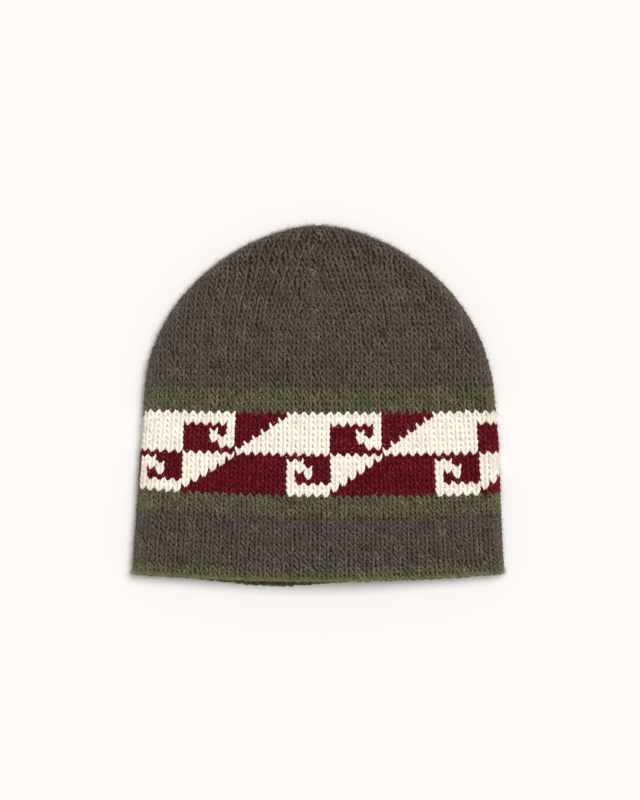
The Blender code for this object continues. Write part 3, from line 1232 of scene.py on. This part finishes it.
@dataclass
class Skullcap:
    """The whole cap: every band's loops, backing and stray fibres."""

    form: CapForm = field(default_factory=CapForm)
    gauge: Gauge = field(default_factory=Gauge)
    stitch: Stitch = field(default_factory=Stitch)
    wall_start: float = 0.6 * MM  # height of the wall's lower edge
    blend: float = 2.5 * MM  # how far a band's strands stray over its neighbours
    strand_density: float = 12000.0  # strands for each metre of the cap's length
    fuzz_density: float = 42000.0  # short hairs for each metre of the outline
    hem_fuzz: int = 9000
    hem_fuzz_height: float = 1.0 * MM

    def __post_init__(self) -> None:
        """Work out the surface, the two ways of placing stitches, and the materials."""
        self.chance = np.random.default_rng(SEED)
        self.surface = CapSurface(self.form)
        self.straight = StraightKnit(self.surface, self.gauge)
        self.backing = BackingWall(self.surface)
        self.fibres = StrayFibres(self.surface)
        finishes = (GREY_BROWN_WOOL, OLIVE_WOOL, BURGUNDY_WOOL, CREAM_WOOL,
                    CREAM_LINING, GREY_BROWN_BACKING, OLIVE_BACKING, BURGUNDY_BACKING)
        self.materials = {finish.name: finish.build() for finish in finishes}
        self.fret_stitches = {
            Yarn.BURGUNDY: replace(self.stitch, skew=-0.35, unevenness=0.05, slub_share=0.0),
            Yarn.CREAM: replace(self.stitch, skew=-0.2, unevenness=0.04, tone_spread=0.03,
                                depth=0.75 * MM, radius=1.30 * MM, pinch=0.63, slub_share=0.0),
        }

    def add(self, parts: list[MeshData], name: str, wool: HeatherWool, slot: str,
            node: str | None = None) -> None:
        """Join meshes into one piece of the cap and fit it.

        Args:
            parts: the meshes.
            name: the piece's name.
            wool: its finish.
            slot: not used.
            node: the CAD node that it replaces, if any.
        """
        fit_piece(MeshData.joined(parts).to_object(name, self.materials[wool.name]), node)

    def plain_band(self, band: Band, first_row: int) -> None:
        """Knit a band of one colour in closed rounds.

        Args:
            band: the band.
            first_row: the number of its lowest row.
        """
        left = self.gauge.first_edge + np.arange(self.gauge.wales)
        rounds = [
            self.stitch.run(self.straight, left, left + 1.0, first_row + step + 0.5, True, self.chance)
            for step in range(band.rows)
        ]
        if first_row == 0:
            rounds += self.cast_on(left)
        dress = DRESSES[band.name]
        self.add(rounds, f"{band.name}_stitches", dress.wools[band.name], dress.slot, band.name)

    def cast_on(self, left: Floats) -> list[MeshData]:
        """The cast-on edge: two strands twisted round each other under the first row.

        Args:
            left: wale number of each stitch's left edge.

        Returns:
            The two strands.
        """
        strands = []
        for turn in (1.0, -1.0):
            strand = replace(self.stitch, slant=0.0, skew=0.0, reach=0.28 * turn,
                             depth=0.35 * turn * MM, radius=0.85 * MM)
            strands.append(strand.run(self.straight, left, left + 1.0, CAST_ON_ROW, True, self.chance))
        return strands

    def fret(self, band: Band, first_row: int) -> None:
        """Knit the fret band from its chart, a run of yarn for each stretch of one colour.

        Args:
            band: the band.
            first_row: the number of its lowest row.
        """
        runs: dict[Yarn, list[MeshData]] = {yarn: [] for yarn in Yarn}
        lining = []
        for step, line in enumerate(reversed(FRET_CHART)):
            row = first_row + step + 0.5
            letters = np.array(list(line * (self.gauge.wales // len(line))))
            changes = np.flatnonzero(letters != np.roll(letters, 1))
            ends = np.append(changes[1:], changes[0] + len(letters))
            for start, end in zip(changes, ends):
                yarn = Yarn(letters[start])
                left = self.gauge.first_edge + np.arange(start, end)
                runs[yarn].append(self.fret_stitches[yarn].run(
                    self.straight, left, left + 1.0, row, False, self.chance))
                if yarn is Yarn.CREAM:
                    lining.append(self.backing.strip(self.straight, left[0], left[-1] + 1.0, row))
        dress = DRESSES[band.name]
        for parts, (name, wool) in zip(runs.values(), dress.wools.items()):
            self.add(parts, f"{name}_stitches", wool, dress.slot, band.name)
        self.add(lining, "fret_cream_lining", CREAM_LINING, dress.slot)

    def crown(self) -> None:
        """Knit the crown's front and back, row by row up to the arch."""
        gauge, surface = self.gauge, self.surface
        back_middle = gauge.wales / 2
        back_line = gauge.first_edge + round(back_middle - gauge.first_edge) - back_middle
        front_line = gauge.first_edge + gauge.crown_line
        sides = (
            ("crown_front_stitches", gauge.front_half, surface.front_half, front_line, 0.0),
            ("crown_back_stitches", gauge.back_half, surface.back_half, back_line, 2.0),
        )
        for name, half_wales, half_length, line, middle in sides:
            knit = CrownKnit(surface, gauge, half_wales, half_length, line, middle)
            rows = []
            for row in np.arange(knit.KNIT_ROWS) + 0.5:
                left, right, leaning = knit.row_edges(row, self.chance)
                if len(left) > 1:
                    rows.append(self.stitch.run(knit, left, right, row, False, self.chance, leaning))
            self.add(rows, name, GREY_BROWN_WOOL, DRESSES["crown"].slot, "crown")

    def grown_from(
        self, wool: HeatherWool, dress: Dress, height: Floats, side: Floats,
    ) -> NDArray[np.bool_]:
        """Whether the stitch at each place of a band is of the given wool, by the chart in the fret.

        Args:
            wool: one of the band's wools.
            dress: what the band is made of.
            height: heights over the hem.
            side: places round the cap.

        Returns:
            True at each place where it is.
        """
        if len(dress.wools) == 1:
            return np.ones(len(height), dtype=bool)
        gauge, band = self.gauge, next(band for band in BANDS if band.name == "fret_band")
        wrapped = (side + 1.0) % 4.0 - 1.0
        behind = gauge.front_half + (wrapped - 1.0) * gauge.back_half
        wale = np.where(wrapped <= 1.0, wrapped * gauge.front_half, behind)
        column = np.floor(wale - gauge.first_edge).astype(int) % len(FRET_CHART[0])
        step = np.floor((height - band.bottom) / (band.top - band.bottom) * band.rows).astype(int)
        chart = np.array([list(line) for line in reversed(FRET_CHART)])
        cream = chart[np.clip(step, 0, band.rows - 1), column] == Yarn.CREAM.value
        return cream if wool is CREAM_WOOL else ~cream

    def hairs(self, band: Band, bottom: float, dress: Dress) -> None:
        """Grow a band's strands, a little past its edges, and its fuzz, a piece for each wool.

        Args:
            band: the band.
            bottom: height of its wall's lower edge.
            dress: what the band is made of.
        """
        low, high = max(bottom - self.blend, 0.0), min(band.top + self.blend, self.form.length)
        count = round(self.strand_density * (high - low))
        strands = self.fibres.on_face(count, low, high, self.chance)
        fuzz = self.fibres.on_rim(self.fuzz_density, bottom, band.top, self.chance)
        if band is BANDS[0]:
            edge = self.fibres.on_face(self.hem_fuzz, 0.0, self.hem_fuzz_height, self.chance)
            fuzz = tuple(np.concatenate(pair) for pair in zip(fuzz, edge))
        for name, wool in dress.wools.items():
            grown = []
            for grow, (height, side), tone in (
                (self.fibres.strands, strands, wool.strand_tone),
                (self.fibres.fuzz, fuzz, wool.fuzz_tone),
            ):
                here = self.grown_from(wool, dress, height, side)
                grown.append(grow(height[here], side[here], tone, self.chance))
            self.add(grown, f"{name}_fibres", wool, dress.slot)

    def build(self) -> None:
        """Make every piece: the loops from the hem to the crown, then the walls and the hairs."""
        first_row = 0
        for band in BANDS:
            knit = self.fret if len(DRESSES[band.name].wools) > 1 else self.plain_band
            knit(band, first_row)
            first_row += band.rows
        self.crown()
        hem, lower_body, lower_stripe, fret_band, upper_stripe = BANDS
        crown = Band("crown", 0, upper_stripe.top, self.form.length)
        for band in (hem, lower_body, lower_stripe, upper_stripe, crown, fret_band):
            bottom = max(band.bottom, self.wall_start)
            dress = DRESSES[band.name]
            shell = self.backing.shell(bottom, band.top)
            self.add([shell], f"{band.name}_backing", dress.backing, dress.slot)
            self.hairs(band, bottom, dress)


# --- the studio ----------------------------------------------------------------


@dataclass
class Studio:
    """A pale floor, soft light from the upper right, and a camera straight above."""

    lens: float = 85.0
    sensor: float = 36.0  # along the picture's height
    picture_height: float = 464.0 * MM
    aim: tuple[float, float] = (1.0 * MM, 3.2 * MM)
    mean_height: float = 12.0 * MM  # height of the cap's face, where the scale is measured
    floor_half: float = 30.0
    floor_colour: str = "E8E6E5"
    sky_colour: str = "FFFBF5"
    sky_strength: float = 0.31
    sun_strength: float = 3.10
    sun_angle: float = 38.0
    sun_turn: tuple[float, float, float] = (0.0, 22.0, 46.0)

    def floor(self) -> None:
        """Lay a matt painted board that reaches past every view."""
        material, tree = blank_material("matt_painted_board")
        shader = add_node(tree, "ShaderNodeBsdfPrincipled", inputs={
            "Base Color": linear(self.floor_colour), "Roughness": 0.9, "Specular IOR Level": 0.1})
        add_node(tree, "ShaderNodeOutputMaterial", inputs={"Surface": shader.outputs["BSDF"]})
        half = self.floor_half
        mesh = bpy.data.meshes.new("floor")
        corners = [(-half, -half, 0.0), (half, -half, 0.0), (half, half, 0.0), (-half, half, 0.0)]
        mesh.from_pydata(corners, [], [(0, 1, 2, 3)])
        mesh.materials.append(material)
        linked("floor", mesh)

    def light(self) -> None:
        """Set an even pale sky and one very soft sun from the upper right."""
        world = bpy.data.worlds.new("studio")
        world.use_nodes = True
        background = world.node_tree.nodes["Background"]
        background.inputs["Color"].default_value = linear(self.sky_colour)
        background.inputs["Strength"].default_value = self.sky_strength
        bpy.context.scene.world = world
        sun = bpy.data.lights.new("soft_window", "SUN")
        sun.energy = self.sun_strength
        sun.angle = math.radians(self.sun_angle)
        lamp = linked("soft_window", sun)
        lamp.rotation_euler = [math.radians(turn) for turn in self.sun_turn]

    def camera(self) -> None:
        """Look straight down from where the sensor covers the picture's height."""
        camera = bpy.data.cameras.new("camera")
        camera.lens = self.lens
        camera.sensor_width = self.sensor
        camera.dof.use_dof = False
        distance = self.lens * self.picture_height / self.sensor
        seen_from = linked("camera", camera)
        seen_from.location = (*self.aim, distance + self.mean_height)
        bpy.context.scene.camera = seen_from

    def build(self) -> None:
        """Set up the floor, the light, the camera and plain colour handling."""
        self.floor()
        self.light()
        self.camera()
        bpy.context.scene.view_settings.view_transform = "Standard"
        bpy.context.scene.view_settings.look = "None"


def main() -> None:
    """Build the cap and the studio, and note the sizes."""
    logging.basicConfig(level=logging.INFO, format="%(message)s")
    Skullcap().build()
    Studio().build()


if __name__ == "__main__":
    main()
